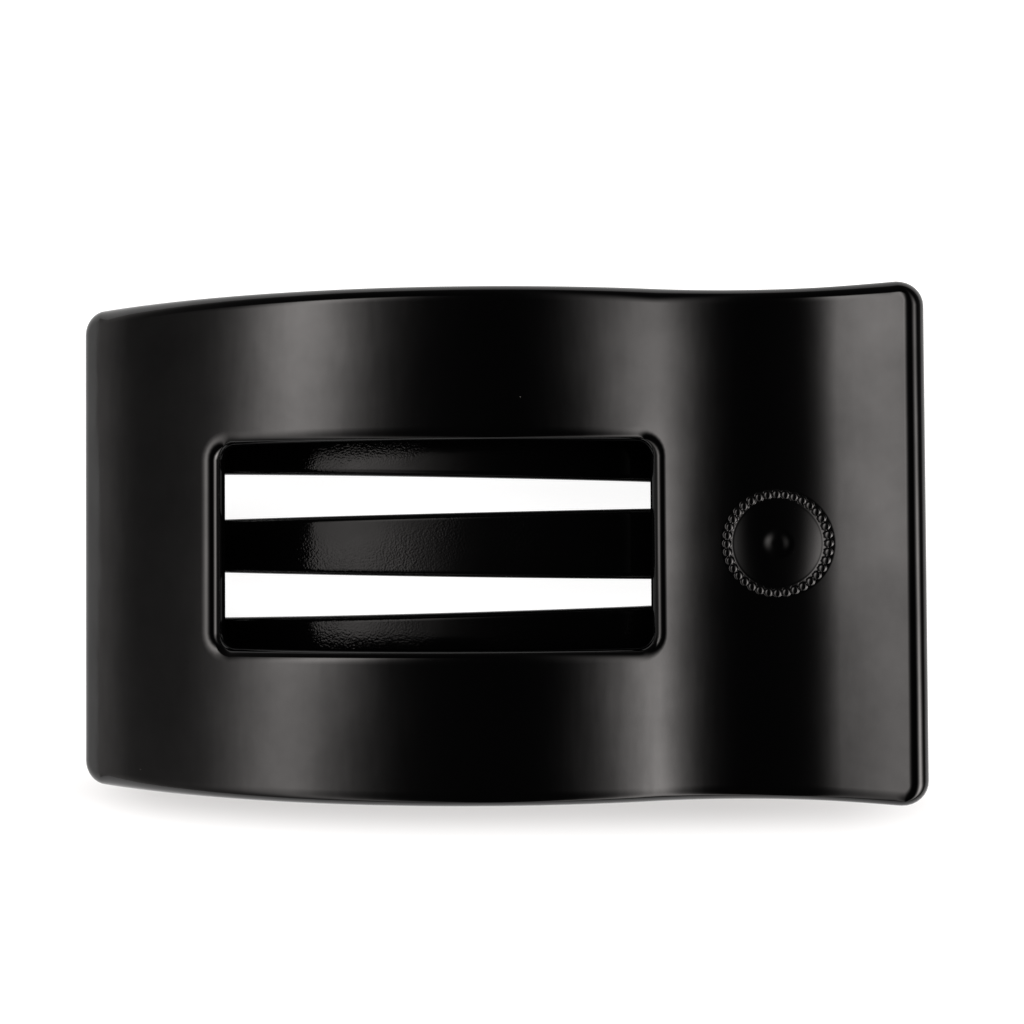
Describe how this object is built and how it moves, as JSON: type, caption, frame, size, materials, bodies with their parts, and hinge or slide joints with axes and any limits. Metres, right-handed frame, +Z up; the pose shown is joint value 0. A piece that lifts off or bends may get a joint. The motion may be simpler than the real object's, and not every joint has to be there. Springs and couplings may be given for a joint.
{
  "type": "barrette",
  "caption": "Arched plastic barrette with an open window and a raised round medallion, hinged on a cross pin and sprung shut against a tined jaw with a thumb lever.",
  "frame": {"origin": "on the resting plane, under the centre of the bounding box", "axes": "+X along the barrette towards the thumb tab, +Z up out of the hair, Y across it and along the hinge pin"},
  "size_m": [0.0934, 0.0552, 0.027],
  "materials": {
    "shell_plastic": "polished black moulding",
    "jaw_plastic": "black moulding with a fine grain",
    "pin_steel": "drawn wire, cut and chamfered",
    "spring_steel": "drawn spring wire"
  },
  "bodies": {
    "jaw": {"lower_jaw": "jaw_plastic", "torsion_spring": "spring_steel"},
    "shell": {"top_shell": "shell_plastic", "hinge_pin": "pin_steel"}
  },
  "joints": [
    {"name": "jaw_hinge", "type": "hinge", "parent": "jaw", "child": "shell", "pos_m": [0.029, 0, 0.01355], "axis": [0, 1, 0], "range_deg": [0, 38], "stiffness_Nm_per_rad": 0.2, "springref_deg": -26.36, "deforming": ["torsion_spring"]}
  ]
}
